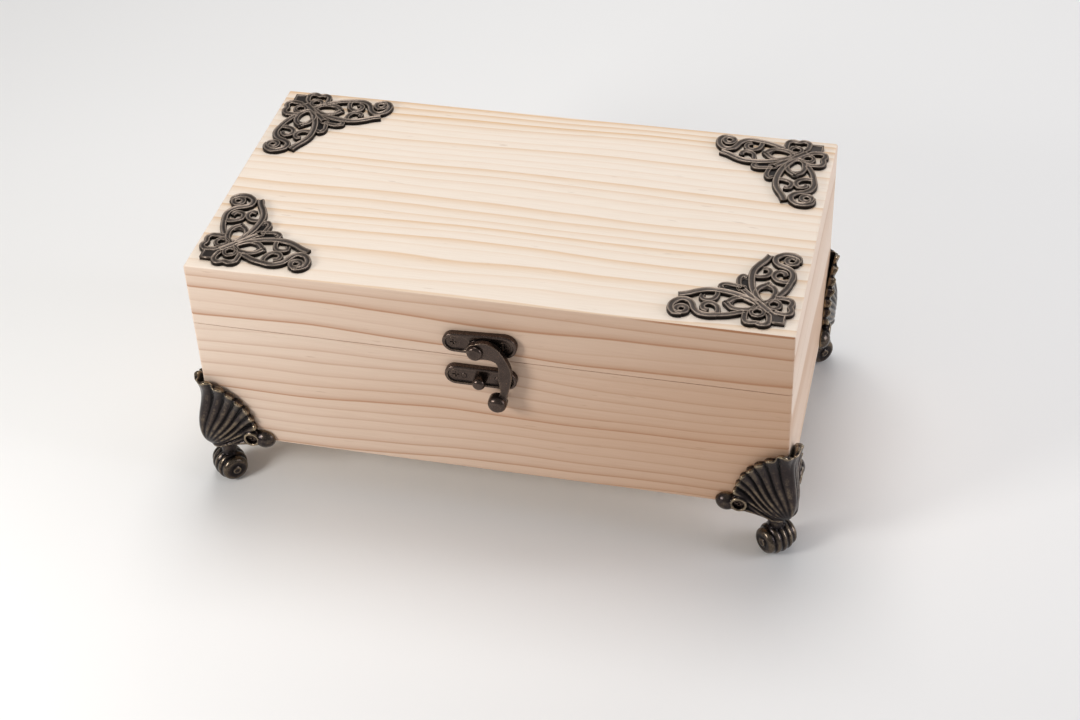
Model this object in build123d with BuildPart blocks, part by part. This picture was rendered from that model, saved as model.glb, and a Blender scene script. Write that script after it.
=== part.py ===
from build123d import *
from math import cos, exp, radians, sin, sqrt, tan
import os

os.makedirs("parts", exist_ok=True)

# A small pine box with a hinged lid, cast filigree corners on the lid, shell
# feet under the corners and a swing-hook latch. Sizes are in millimetres.
# X runs left to right as seen from the front, Y from front to back, Z up.
# The origin lies on the table, under the middle of the whole, latch included.

# Wooden box
box_length = 220.0
box_depth = 120.0
base_height = 54.0
lid_height = 25.7
seam_gap = 0.3
board = 8.0
lid_panel_thickness = 6.0
floor_thickness = 4.0
floor_rise = 6.0
floor_tongue = 4.0
tongue_clearance = 0.3
edge_radius = 1.0
box_setback = 1.75

# Clearances between metal pieces
running_clearance = 0.05
fixed_clearance = 0.02
moving_gap = 0.3

# Wood screw, one size for every fitting
screw_head_radius = 2.1
screw_shank_radius = 1.0
screw_length = 7.0
screw_point = 1.6
cross_width = 0.6
cross_length = 2.6
cross_depth = 0.5

# Corner foot
foot_drop = 22.5
foot_rise = 29.5
fan_centre_drop = 5.0
rim_fall = 0.2
rib_count = 18
rib_pitch = 8.5
valley_depth = 1.5
shell_levels = [-3.8, -1.5, 2.0, 7.0, 13.0, 19.0, 25.0, 31.0]
rim_lobe_fall = 1.6
rim_margin = 12.0
shell_standoff = 5.5
shell_swell = 0.11
waist_dip = 2.9
waist_place = 0.74
waist_width = 0.26
wing_thinning = 0.2
wing_turn = 60.0
corner_wrap = 9.0
half_corner = 45.0
rim_gap_start = 19.0
rim_gap = 2.2
ledge_width = 10.0
ledge_thickness = 2.4
neck_inset = 4.4
neck_top_radius = 3.4
neck_taper = 3.0
ball_inset = 3.4
ball_radius = 6.3
ball_length = 12.6
ball_end_radius = 3.4
ball_rings = 5
ball_ring_depth = 0.7
scroll_eye_radius = 1.6
scroll_eye_height = 0.6
pad_cut = 0.4
foot_screw_along = 17.0
foot_screw_rise = 2.4
screw_boss_radius = 3.2
screw_boss_height = 3.6
screw_recess = 1.6
tail_along = 21.6
tail_rise = 1.8
tail_radius = 4.0
tail_length = 8.6

# Lid corner ornament
ornament_setback = 1.3
ornament_thickness = 1.6
strand_end_step = 0.06

# Swing-hook latch, placed by the middle of its plates
latch_offset = -1.0
latch_seam_distance = 7.25
latch_plate_thickness = 2.6
latch_screw_spacing = 18.5
lobe_radius = 4.1
lid_lobe_radius = 4.7
lid_lobe_lift = 0.3
lobe_pocket_radius = 2.9
lobe_pocket_depth = 0.8
pocket_run = 3.0
plate_edge = 0.7
pivot_offset = -0.5
pivot_lift = -0.8
pivot_radius = 1.5
pivot_boss_radius = 3.0
pivot_boss_height = 0.5
pivot_dome = 1.2
pivot_head_radius = 2.9
pivot_head_height = 1.5
hook_lift = 0.6
hook_thickness = 2.2
hook_side_gap = 0.1
hook_eye_radius = 3.4
hook_ball_radius = 3.5
knob_height = 4.6
knob_dome = 2.3
hook_open_angle = 5.0
post_offset = 0.1
post_lift = -0.3
post_radius = 2.4
post_foot_radius = 1.5
post_height = 6.9
post_dome = 1.6
bump_radius = 0.9
bump_height = 0.3
bump_spread = 6.2

# Butt hinges on the back
hinge_inset = 36.0
hinge_width = 24.0
hinge_leaf_height = 9.5
hinge_leaf_thickness = 1.2
hinge_knuckle_radius = 1.9
hinge_pin_radius = 0.8
hinge_pin_head_radius = 1.3
hinge_pin_head_height = 0.7
hinge_knuckles = 3
hinge_screw_rise = 6.0
hinge_screw_spread = 7.6

# Heights and lines worked out from the sizes above
base_bottom = foot_drop
base_top = base_bottom + base_height
lid_bottom = base_top + seam_gap
lid_top = lid_bottom + lid_height
half_length = box_length / 2
half_depth = box_depth / 2
screw_head_height = screw_head_radius - screw_shank_radius
front_face = Plane.XZ.offset(half_depth)
hinge_axis_y = half_depth + moving_gap + hinge_knuckle_radius
hinge_axis_z = base_top + seam_gap / 2
latch_base_z = base_top - latch_seam_distance
latch_lid_z = lid_bottom + latch_seam_distance
pivot_x = latch_offset + pivot_offset
pivot_z = latch_lid_z + pivot_lift
post_x = latch_offset + post_offset


# Every piece is drawn about the middle of the wooden box. The latch stands out
# in front, so the whole moves back a little to lie evenly about the origin.
def save(piece, name):
    """Move one finished piece back, label it and write its file."""
    with BuildPart() as placed:
        with Locations((0, box_setback, 0)):
            add(piece.part)
    placed.part.label = name
    export_step(placed.part, "parts/" + name + ".step")


# Wood screw: countersunk head with a cross recess, head top at the origin,
# shank down along -Z.
with BuildPart() as screw_form:
    with BuildSketch(Plane.XZ):
        with BuildLine():
            Polyline(
                (0, 0),
                (screw_head_radius, 0),
                (screw_shank_radius, -screw_head_height),
                (screw_shank_radius, screw_point - screw_length),
                (0, -screw_length),
                (0, 0),
            )
        make_face()
    revolve(axis=Axis.Z)
    with BuildSketch(Plane.XY):
        Rectangle(cross_length, cross_width)
        Rectangle(cross_width, cross_length)
    extrude(amount=-cross_depth, mode=Mode.SUBTRACT)

# Tool that a screw's hole is cut with: the screw grown by the fixed clearance,
# with a straight recess above the head.
screw_bore_radius = screw_shank_radius + fixed_clearance
screw_sink_radius = screw_head_radius + fixed_clearance
with BuildPart() as screw_bore:
    with BuildSketch(Plane.XZ):
        with BuildLine():
            Polyline(
                (0, screw_length),
                (screw_sink_radius, screw_length),
                (screw_sink_radius, 0),
                (screw_bore_radius, -screw_head_height),
                (screw_bore_radius, -screw_length),
                (0, -screw_length),
                (0, screw_length),
            )
        make_face()
    revolve(axis=Axis.Z)


def side_wedge(side, thickness):
    """Plan of one side board between its two mitres."""
    outer = [(-1, -1), (1, -1), (1, 1), (-1, 1)]
    first = {"front": 0, "right": 1, "back": 2, "left": 3}[side]
    start_x, start_y = outer[first]
    end_x, end_y = outer[(first + 1) % 4]
    inner_x = half_length - thickness
    inner_y = half_depth - thickness
    return [
        (start_x * half_length, start_y * half_depth),
        (end_x * half_length, end_y * half_depth),
        (end_x * inner_x, end_y * inner_y),
        (start_x * inner_x, start_y * inner_y),
    ]


sides = ["front", "back", "left", "right"]

# Screw places on the wooden faces: the point where each head's top lies, as
# the origin of a plane whose normal points out of the wood.
hinge_places = [-half_length + hinge_inset, half_length - hinge_inset]


def on_face(face, across, height, standing):
    """Plane on a box face, at a place across it and a height above the table."""
    spot = face.from_local_coords(Vector(across, height, standing))
    return Plane(origin=spot, x_dir=face.x_dir, z_dir=face.z_dir)


back_outward = Plane(origin=(0, half_depth, 0), x_dir=(-1, 0, 0), z_dir=(0, 1, 0))
lid_lobes = [
    (latch_offset - latch_screw_spacing / 2, latch_lid_z),
    (latch_offset + latch_screw_spacing / 2, latch_lid_z + lid_lobe_lift),
]
base_lobes = [
    (latch_offset - latch_screw_spacing / 2, latch_base_z),
    (latch_offset + latch_screw_spacing / 2, latch_base_z),
]
latch_head_level = latch_plate_thickness - lobe_pocket_depth
latch_lid_screw_planes = [on_face(front_face, x, z, latch_head_level) for x, z in lid_lobes]
latch_base_screw_planes = [on_face(front_face, x, z, latch_head_level) for x, z in base_lobes]
hinge_base_screw_planes = []
hinge_lid_screw_planes = []
for place in hinge_places:
    for spread in (-hinge_screw_spread, hinge_screw_spread):
        low = on_face(back_outward, -place + spread, hinge_axis_z - hinge_screw_rise, hinge_leaf_thickness)
        high = on_face(back_outward, -place + spread, hinge_axis_z + hinge_screw_rise, hinge_leaf_thickness)
        hinge_base_screw_planes.append(low)
        hinge_lid_screw_planes.append(high)

# Where each foot stands: the corner of the wood's underside, and the turn that
# takes the foot from the front-left corner to this one.
foot_places = {
    "front_left": Location((-half_length, -half_depth, base_bottom), (0, 0, 0)),
    "front_right": Location((half_length, -half_depth, base_bottom), (0, 0, 90)),
    "back_right": Location((half_length, half_depth, base_bottom), (0, 0, 180)),
    "back_left": Location((-half_length, half_depth, base_bottom), (0, 0, 270)),
}
foot_screw_level = screw_boss_height - screw_recess
front_wing_screw = (foot_screw_along, -foot_screw_level, foot_screw_rise)
left_wing_screw = (-foot_screw_level, foot_screw_along, foot_screw_rise)
wing_screw_planes = [
    Plane(origin=front_wing_screw, x_dir=(1, 0, 0), z_dir=(0, -1, 0)),
    Plane(origin=left_wing_screw, x_dir=(0, -1, 0), z_dir=(-1, 0, 0)),
]
foot_screw_planes = [
    Plane(place * wing.location) for place in foot_places.values() for wing in wing_screw_planes
]

# Base: four mitred boards with a floor let into a groove
with BuildPart() as base_block:
    with BuildSketch(Plane.XY.offset(base_bottom)):
        Rectangle(box_length, box_depth)
    extrude(amount=base_height)
    fillet(base_block.edges().filter_by(Axis.Z), edge_radius)
    fillet(base_block.faces().sort_by(Axis.Z)[0].edges(), edge_radius)

groove_length = box_length - 2 * board + 2 * floor_tongue
groove_depth = box_depth - 2 * board + 2 * floor_tongue
with BuildPart() as floor_groove:
    with BuildSketch(Plane.XY.offset(base_bottom + floor_rise)):
        Rectangle(groove_length, groove_depth)
    extrude(amount=floor_thickness)

with BuildPart() as base_screw_holes:
    for plane in latch_base_screw_planes + hinge_base_screw_planes + foot_screw_planes:
        with Locations(plane):
            add(screw_bore.part)

for side in sides:
    with BuildPart() as base_board:
        add(base_block)
        with BuildSketch(Plane.XY.offset(base_bottom)):
            Polygon(side_wedge(side, board), align=None)
        extrude(amount=base_height, mode=Mode.INTERSECT)
        add(floor_groove, mode=Mode.SUBTRACT)
        add(base_screw_holes, mode=Mode.SUBTRACT)
    save(base_board, "base_" + side + "_board")

with BuildPart() as base_floor_panel:
    with BuildSketch(Plane.XY.offset(base_bottom + floor_rise)):
        Rectangle(groove_length - 2 * tongue_clearance, groove_depth - 2 * tongue_clearance)
    extrude(amount=floor_thickness)
save(base_floor_panel, "base_floor_panel")

# Lid: four mitred rails, with the top panel mitred into their upper edges
with BuildPart() as lid_block:
    with BuildSketch(Plane.XY.offset(lid_bottom)):
        Rectangle(box_length, box_depth)
    extrude(amount=lid_height)
    fillet(lid_block.edges().filter_by(Axis.Z), edge_radius)
    fillet(lid_block.faces().sort_by(Axis.Z)[-1].edges(), edge_radius)

with BuildPart() as panel_space:
    with BuildSketch(Plane.XY.offset(lid_top)):
        Rectangle(box_length, box_depth)
    with BuildSketch(Plane.XY.offset(lid_top - lid_panel_thickness)):
        Rectangle(box_length - 2 * board, box_depth - 2 * board)
    loft(ruled=True)

with BuildPart() as lid_top_panel:
    add(panel_space)
    add(lid_block, mode=Mode.INTERSECT)
save(lid_top_panel, "lid_top_panel")

with BuildPart() as lid_screw_holes:
    for plane in latch_lid_screw_planes + hinge_lid_screw_planes:
        with Locations(plane):
            add(screw_bore.part)

for side in sides:
    with BuildPart() as lid_rail:
        add(lid_block)
        with BuildSketch(Plane.XY.offset(lid_bottom)):
            Polygon(side_wedge(side, board), align=None)
        extrude(amount=lid_height, mode=Mode.INTERSECT)
        add(panel_space, mode=Mode.SUBTRACT)
        add(lid_screw_holes, mode=Mode.SUBTRACT)
    save(lid_rail, "lid_" + side + "_rail")


# Corner foot, drawn at a corner whose wood fills x > 0, y > 0, z > 0. Its ribs
# spread like a shell from a point under the corner and wrap round both faces.
def rim_radius(angle):
    """Length of a rib from the fan's centre, shorter towards the wings."""
    return foot_rise + fan_centre_drop - rim_fall * abs(angle)


def standoff(angle, share):
    """Distance from the wood to the crest of a rib, a share of the way up it."""
    swell = shell_standoff * (1 - exp(-share / shell_swell))
    waist = waist_dip * exp(-(((share - waist_place) / waist_width) ** 2))
    wing = 1 - wing_thinning * min(abs(angle) / wing_turn, 1)
    return (swell - waist) * wing


def shell_point(angle, rise, depth):
    """Point of the shell on one ray of the fan, at a height and a depth below its crest."""
    reach = rise + fan_centre_drop
    along = reach * tan(radians(angle))
    share = min(reach / cos(radians(angle)) / rim_radius(angle), 1)
    turn = half_corner * max(-1, min(1, along / corner_wrap))
    out = Vector(-1, -1, 0).normalized().rotate(Axis.Z, turn)
    foot_point = Vector(max(along, 0), max(-along, 0), rise)
    return foot_point + out * (standoff(angle, share) - depth * share)


rib_turns = [(rib - (rib_count - 1) / 2) * rib_pitch for rib in range(rib_count)]
valley_turns = [turn - rib_pitch / 2 for turn in rib_turns] + [rib_turns[-1] + rib_pitch / 2]


def flat(point):
    """The same point as a pair for a sketch in a level plane."""
    return (point.X, point.Y)


# The shell as a stack of level sections, each a row of arcs from the end of
# one wing round the corner to the end of the other.
with BuildPart() as shell_block:
    for level in shell_levels:
        with BuildSketch(Plane.XY.offset(level)):
            with BuildLine():
                valleys = [flat(shell_point(turn, level, valley_depth)) for turn in valley_turns]
                crests = [flat(shell_point(turn, level, 0)) for turn in rib_turns]
                for rib in range(rib_count):
                    ThreePointArc(valleys[rib], crests[rib], valleys[rib + 1])
                Polyline(valleys[-1], (valleys[-1][0], 0), (0, 0), (0, valleys[0][1]), valleys[0])
            make_face()
    loft()

# Outline of the rim, one round lobe to each rib, seen square to a wing
rim_lobe = 1 - rim_lobe_fall / foot_rise


def rim_point(angle, share):
    """Point on the rim in the plane of a wing."""
    reach = rim_radius(angle) * share
    return (reach * sin(radians(angle)), reach * cos(radians(angle)) - fan_centre_drop)


wing_ribs = [turn for turn in rib_turns if turn > 0]
with BuildSketch(Plane.XZ) as rim_outline:
    with BuildLine():
        first = rim_point(wing_ribs[0] - rib_pitch / 2, rim_lobe)
        low = rim_point(wing_ribs[-1] + rib_pitch / 2, rim_lobe)
        Polyline(first, (-rim_margin, first[1]), (-rim_margin, -foot_drop), (low[0], -foot_drop), low)
        for turn in wing_ribs:
            ThreePointArc(
                rim_point(turn - rib_pitch / 2, rim_lobe),
                rim_point(turn, 1),
                rim_point(turn + rib_pitch / 2, rim_lobe),
            )
    make_face()

with BuildPart() as rim_keep:
    with BuildSketch(Plane.XZ):
        add(rim_outline.sketch)
    extrude(amount=rim_margin)
    mirror(about=Plane(origin=(0, 0, 0), x_dir=(1, 1, 0), z_dir=(1, -1, 0)))

with BuildPart() as shell_ribs:
    add(shell_block)
    add(rim_keep, mode=Mode.INTERSECT)

# The wood that the foot hugs, and the slot that opens between the wood and
# the rim.
wood_reach = 2 * foot_rise
with BuildPart() as corner_wood:
    with BuildSketch(Plane.XY):
        Rectangle(wood_reach, wood_reach, align=(Align.MIN, Align.MIN))
    extrude(amount=wood_reach)
rim_slot_rise = foot_rise - rim_gap_start
with BuildPart() as rim_slot:
    with BuildSketch(Plane.XY.offset(rim_gap_start)):
        Rectangle(wood_reach, wood_reach, align=(Align.MIN, Align.MIN))
    with BuildSketch(Plane.XY.offset(rim_gap_start + 2 * rim_slot_rise)):
        with Locations((-2 * rim_gap, -2 * rim_gap)):
            Rectangle(wood_reach, wood_reach, align=(Align.MIN, Align.MIN))
    loft(ruled=True)

# Ribbed barrel under the neck, lying across the diagonal of the corner
diagonal = Vector(1, 1, 0).normalized()
ball_middle = diagonal * (ball_inset * sqrt(2)) + Vector(0, 0, ball_radius - pad_cut - foot_drop)
barrel_plane = Plane(origin=ball_middle, x_dir=(-1, -1, 0), z_dir=(1, -1, 0))
ring_width = ball_length / ball_rings


def barrel_radius(place):
    """Radius of the barrel's rings at a distance from its middle."""
    share = 2 * place / ball_length
    return ball_end_radius + (ball_radius - ball_end_radius) * sqrt(max(0, 1 - share**2))


with BuildPart() as ribbed_barrel:
    with BuildSketch(Plane(origin=ball_middle, x_dir=barrel_plane.x_dir, z_dir=(0, 0, 1))):
        with BuildLine():
            profile_start = -ball_length / 2
            Line((0, profile_start), (ball_end_radius - ball_ring_depth, profile_start))
            for ring in range(ball_rings):
                start = profile_start + ring * ring_width
                middle = start + ring_width / 2
                end = start + ring_width
                ThreePointArc(
                    (barrel_radius(start) - ball_ring_depth, start),
                    (barrel_radius(middle), middle),
                    (barrel_radius(end) - ball_ring_depth, end),
                )
            Line((ball_end_radius - ball_ring_depth, -profile_start), (0, -profile_start))
            Line((0, -profile_start), (0, profile_start))
        make_face()
    revolve(axis=Axis(ball_middle, barrel_plane.z_dir))
    with BuildSketch(barrel_plane):
        Circle(scroll_eye_radius)
    extrude(amount=ball_length / 2 + scroll_eye_height, both=True)

neck_top = diagonal * (neck_inset * sqrt(2)) + Vector(0, 0, -fan_centre_drop / 2)
neck_run = ball_middle - neck_top
neck_plane = Plane(origin=neck_top, x_dir=(1, -1, 0), z_dir=neck_run)

# Planes of the knobs that end the two wings, each along its wing
tail_planes = [
    Plane(origin=(tail_along, 0, tail_rise), x_dir=(1, 0, 0), z_dir=(0, 0, 1)),
    Plane(origin=(0, tail_along, tail_rise), x_dir=(0, 1, 0), z_dir=(0, 0, 1)),
]

with BuildPart() as foot_form:
    add(shell_ribs)
    # Ledge under the wood, and the neck below it
    with BuildSketch(Plane.XY):
        Rectangle(ledge_width, ledge_width, align=(Align.MIN, Align.MIN))
    extrude(amount=-ledge_thickness)
    upright_edges = foot_form.edges().filter_by(Axis.Z)
    fillet(upright_edges.sort_by_distance((ledge_width, ledge_width, 0))[0], ledge_width / 2)
    with BuildSketch(neck_plane):
        Circle(neck_top_radius)
    extrude(amount=neck_run.length, taper=neck_taper)
    add(ribbed_barrel)
    for wing in wing_screw_planes:
        # Round boss that the screw is sunk into, and the knob at the wing's end
        boss_plane = Plane(
            origin=wing.origin + wing.z_dir * (screw_boss_height - foot_screw_level),
            x_dir=wing.x_dir,
            z_dir=wing.z_dir,
        )
        with BuildSketch(boss_plane):
            Circle(screw_boss_radius)
        extrude(amount=-screw_boss_height)
    for knob_plane in tail_planes:
        with BuildSketch(knob_plane):
            Ellipse(tail_length / 2, tail_radius)
            with Locations((0, tail_radius)):
                Rectangle(tail_length, 2 * tail_radius, mode=Mode.SUBTRACT)
        revolve(axis=Axis(knob_plane.origin, knob_plane.x_dir))
    add(corner_wood, mode=Mode.SUBTRACT)
    add(rim_slot, mode=Mode.SUBTRACT)
    for wing in wing_screw_planes:
        with Locations(wing):
            add(screw_bore.part, mode=Mode.SUBTRACT)
    # Flat pad that the foot stands on
    with BuildSketch(Plane.XY.offset(-foot_drop)):
        Rectangle(wood_reach, wood_reach)
    extrude(amount=-2 * ball_radius, mode=Mode.SUBTRACT)

for name, place in foot_places.items():
    with BuildPart() as foot:
        with Locations(place):
            add(foot_form.part)
    save(foot, "foot_" + name)


# Corner ornament for the lid, drawn at a corner with the box's edges along
# both axes. One half is drawn as strands and mirrored about the diagonal.
arm_line = [
    (41.4, 13.6),
    (38.4, 14.8),
    (35.2, 16.7),
    (31.8, 18.0),
    (28.2, 18.2),
    (24.8, 17.8),
    (21.5, 17.0),
    (18.0, 15.6),
    (14.5, 13.6),
]
scroll_line = [
    (38.8, 3.5),
    (40.8, 3.3),
    (42.5, 4.5),
    (43.1, 7.0),
    (42.2, 9.6),
    (40.1, 11.3),
    (37.8, 11.1),
    (36.2, 9.4),
    (35.0, 6.6),
    (33.0, 4.7),
    (30.0, 4.0),
    (27.0, 4.5),
]
lower_line = [(27.0, 4.5), (25.0, 4.9), (22.9, 5.5), (20.5, 6.6), (18.0, 8.0)]
inner_curl_line = [(28.4, 17.4), (28.4, 15.1), (29.5, 12.9), (31.6, 12.2), (33.4, 13.3), (33.2, 14.9)]
outer_curl_line = [
    (26.8, 5.0),
    (26.8, 7.5),
    (28.2, 10.1),
    (30.4, 10.7),
    (32.2, 9.4),
    (32.0, 7.3),
    (30.3, 6.5),
]
lobe_line = [
    (17.4, 8.6),
    (17.4, 5.4),
    (16.9, 3.1),
    (15.2, 2.3),
    (13.1, 2.7),
    (10.9, 2.0),
    (9.2, 2.9),
    (8.9, 5.3),
    (9.6, 7.8),
]
feeler_line = [(20.8, 21.4), (24.0, 22.1), (26.6, 22.2), (28.0, 21.1), (27.5, 19.6)]
upper_lid_line = [(14.1, 12.4), (17.8, 15.3), (22.0, 14.8), (24.7, 11.9)]
lower_lid_line = [(24.7, 11.9), (22.4, 9.4), (18.3, 9.0), (15.1, 10.4), (14.1, 12.4)]
strands = [
    (arm_line, 2.8),
    (scroll_line, 2.6),
    (lower_line, 2.4),
    (inner_curl_line, 2.0),
    (outer_curl_line, 2.1),
    (lobe_line, 2.3),
    (feeler_line, 2.0),
    (upper_lid_line, 2.2),
    (lower_lid_line, 2.2),
]
scroll_boss = (39.2, 5.6)
scroll_boss_radius = 3.0
scroll_boss_hole = 0.8
lobe_ring = (13.4, 8.4)
lobe_ring_radius = 3.0
lobe_ring_hole = 1.35
body_patch = [(14.5, 14.5), (22.0, 17.2), (26.8, 18.6), (27.2, 20.6), (26.0, 21.8), (21.6, 21.6)]
leaf_patch = [(21.8, 14.4), (24.2, 14.4), (26.4, 11.8), (24.4, 9.8), (22.2, 9.8)]
tip_patch = [(3.4, 3.4), (8.7, 3.4), (8.9, 7.2), (11.0, 9.2), (15.2, 13.4), (17.0, 17.0)]
diagonal_holes = [(20.6, 1.0), (7.7, 0.8)]
ornament_mirror = Plane(origin=(0, 0, 0), x_dir=(1, 1, 0), z_dir=(1, -1, 0))

with BuildSketch() as ornament_half:
    for line_points, width in strands:
        with BuildLine() as strand:
            Spline(*line_points)
        trace(line_width=width)
        with Locations(line_points[0], line_points[-1]):
            Circle(width / 2 - strand_end_step)
    with Locations(scroll_boss):
        Circle(scroll_boss_radius)
    with Locations(lobe_ring):
        Circle(lobe_ring_radius)
    with Locations(lobe_ring):
        Circle(lobe_ring_hole, mode=Mode.SUBTRACT)
    for patch in (body_patch, leaf_patch, tip_patch):
        Polygon(patch, align=None)

with BuildPart() as ornament_form:
    with BuildSketch():
        add(ornament_half.sketch)
        mirror(about=ornament_mirror)
        for reach, radius in diagonal_holes:
            with Locations((reach, reach)):
                Circle(radius, mode=Mode.SUBTRACT)
        with Locations(scroll_boss, scroll_boss[::-1]):
            Circle(scroll_boss_hole, mode=Mode.SUBTRACT)
    extrude(amount=ornament_thickness)

for name, place in foot_places.items():
    raised = Pos(0, 0, lid_top - base_bottom) * place * Pos(ornament_setback, ornament_setback, 0)
    with BuildPart() as ornament:
        with Locations(raised):
            add(ornament_form.part)
    save(ornament, "ornament_" + name)

# Latch plates: rounded lobes joined by straight edges, with sunk pockets
pivot_spot = (pivot_x, pivot_z)
post_spot = (post_x, latch_base_z + post_lift)
left_lid_lobe, right_lid_lobe = lid_lobes
left_base_lobe, right_base_lobe = base_lobes
pocket_level = front_face.offset(latch_plate_thickness)

with BuildPart() as latch_lid_plate:
    with BuildSketch(front_face):
        with Locations(left_lid_lobe):
            Circle(lobe_radius)
        with Locations(right_lid_lobe):
            Circle(lid_lobe_radius)
        make_hull()
    extrude(amount=latch_plate_thickness)
    fillet(latch_lid_plate.faces().sort_by(Axis.Y)[0].edges(), plate_edge)
    for (x, z), radius, run in (
        (left_lid_lobe, lobe_pocket_radius, pocket_run),
        (right_lid_lobe, lobe_pocket_radius + lid_lobe_radius - lobe_radius, -pocket_run),
    ):
        with BuildSketch(pocket_level):
            with Locations((x, z), (x + run, z)):
                Circle(radius)
            make_hull()
        extrude(amount=-lobe_pocket_depth, mode=Mode.SUBTRACT)
    with BuildSketch(front_face):
        with Locations(pivot_spot):
            Circle(pivot_boss_radius)
    extrude(amount=latch_plate_thickness + pivot_boss_height)
    with BuildSketch(front_face):
        with Locations(pivot_spot):
            Circle(pivot_radius + fixed_clearance)
    extrude(amount=latch_plate_thickness + pivot_boss_height, mode=Mode.SUBTRACT)
    add(lid_screw_holes.part, mode=Mode.SUBTRACT)
save(latch_lid_plate, "latch_lid_plate")

with BuildPart() as latch_base_plate:
    with BuildSketch(front_face):
        with Locations(left_base_lobe, right_base_lobe):
            Circle(lobe_radius)
        make_hull()
    extrude(amount=latch_plate_thickness)
    fillet(latch_base_plate.faces().sort_by(Axis.Y)[0].edges(), plate_edge)
    with BuildSketch(pocket_level):
        with Locations(left_base_lobe, right_base_lobe):
            Circle(lobe_pocket_radius)
        make_hull()
    extrude(amount=-lobe_pocket_depth, mode=Mode.SUBTRACT)
    with BuildSketch(front_face):
        for side in (-1, 1):
            with Locations((latch_offset + side * bump_spread, latch_base_z)):
                Circle(bump_radius)
    extrude(amount=latch_plate_thickness - lobe_pocket_depth + bump_height)
    with BuildSketch(front_face):
        with Locations(post_spot):
            Circle(post_foot_radius + fixed_clearance)
    extrude(amount=latch_plate_thickness, mode=Mode.SUBTRACT)
    add(base_screw_holes.part, mode=Mode.SUBTRACT)
save(latch_base_plate, "latch_base_plate")

# Catch post: a foot in the base plate and a stout stem with a domed end
post_seat = latch_plate_thickness - lobe_pocket_depth
with BuildPart() as latch_post:
    with BuildSketch(on_face(front_face, post_spot[0], post_spot[1], 0)):
        Circle(post_foot_radius)
    extrude(amount=post_seat)
    with BuildSketch(on_face(front_face, post_spot[0], post_spot[1], post_seat)):
        Circle(post_radius)
    extrude(amount=post_height - post_seat)
    fillet(latch_post.edges().sort_by(Axis.Y)[0], post_dome)
save(latch_post, "latch_post")

# Pivot rivet: shank through the plate's boss and the hook's eye, domed head
hook_level = latch_plate_thickness + hook_lift
head_level = hook_level + hook_thickness + hook_side_gap
with BuildPart() as latch_pivot_rivet:
    with BuildSketch(on_face(front_face, pivot_x, pivot_z, 0)):
        Circle(pivot_radius)
    extrude(amount=head_level)
    with BuildSketch(on_face(front_face, pivot_x, pivot_z, head_level)):
        Circle(pivot_head_radius)
    extrude(amount=pivot_head_height)
    fillet(latch_pivot_rivet.edges().sort_by(Axis.Y)[0], pivot_dome)
save(latch_pivot_rivet, "latch_pivot_rivet")

# Swing hook, drawn about the pivot as it hangs when closed, then turned open
# so that its knob stands clear of the post.
hook_outer = [
    (0.0, 3.4),
    (4.4, 3.9),
    (7.8, 2.0),
    (10.2, -1.9),
    (11.7, -6.2),
    (11.6, -12.6),
    (9.9, -17.5),
    (8.6, -21.8),
]
hook_inner = [
    (5.2, -20.4),
    (6.9, -17.5),
    (6.9, -12.6),
    (7.4, -8.2),
    (7.0, -4.6),
    (3.9, -3.2),
    (0.0, -3.4),
]
knob_spot = (5.1, -22.9)
hook_plane = Plane(
    origin=front_face.from_local_coords(Vector(pivot_x, pivot_z, hook_level)),
    x_dir=Vector(cos(radians(hook_open_angle)), 0, sin(radians(hook_open_angle))),
    z_dir=front_face.z_dir,
)
with BuildPart() as latch_hook:
    with BuildSketch(hook_plane):
        with BuildLine():
            Spline(*hook_outer)
            Line(hook_outer[-1], hook_inner[0])
            Spline(*hook_inner)
            Line(hook_inner[-1], hook_outer[0])
        make_face()
        Circle(hook_eye_radius)
    extrude(amount=hook_thickness)
    with BuildSketch(hook_plane):
        Circle(pivot_radius + running_clearance)
    extrude(amount=hook_thickness, mode=Mode.SUBTRACT)
    with BuildSketch(hook_plane):
        with Locations(knob_spot):
            Circle(hook_ball_radius)
    extrude(amount=knob_height)
    fillet(latch_hook.faces().sort_by(Axis.Y)[0].edges(), knob_dome)
save(latch_hook, "latch_hook")

# Butt hinges: leaves screwed to the back, knuckles round a common pin
knuckle_length = (hinge_width - (hinge_knuckles - 1) * moving_gap) / hinge_knuckles
knuckle_starts = [-hinge_width / 2 + i * (knuckle_length + moving_gap) for i in range(hinge_knuckles)]
leaf_setback = hinge_knuckle_radius + moving_gap
leaf_start = seam_gap / 2 + moving_gap / 2


def pin_plane(place):
    """Plane square to a hinge's axis, at the middle of the hinge."""
    return Plane(origin=(place, hinge_axis_y, hinge_axis_z), x_dir=(0, 1, 0), z_dir=(1, 0, 0))


def hinge_leaf(place, rising, own):
    """One hinge leaf: rising is 1 for the lid's leaf and -1 for the base's."""
    with BuildPart() as leaf:
        with BuildSketch(back_outward):
            middle = hinge_axis_z + rising * (leaf_setback + hinge_leaf_height) / 2
            with Locations((-place, middle)):
                Rectangle(hinge_width, hinge_leaf_height - leaf_setback)
            for knuckle in own:
                centre = knuckle_starts[knuckle] + knuckle_length / 2
                spot = hinge_axis_z + rising * (leaf_start + leaf_setback) / 2
                with Locations((-place - centre, spot)):
                    Rectangle(knuckle_length, leaf_setback - leaf_start)
        extrude(amount=hinge_leaf_thickness)
        axis_plane = pin_plane(place)
        for knuckle in own:
            with BuildSketch(axis_plane.offset(knuckle_starts[knuckle])):
                Circle(hinge_knuckle_radius)
            extrude(amount=knuckle_length)
        bore = hinge_pin_radius + (running_clearance if rising > 0 else fixed_clearance)
        with BuildSketch(axis_plane):
            Circle(bore)
        extrude(amount=hinge_width / 2, both=True, mode=Mode.SUBTRACT)
        add((lid_screw_holes if rising > 0 else base_screw_holes).part, mode=Mode.SUBTRACT)
    return leaf


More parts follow.
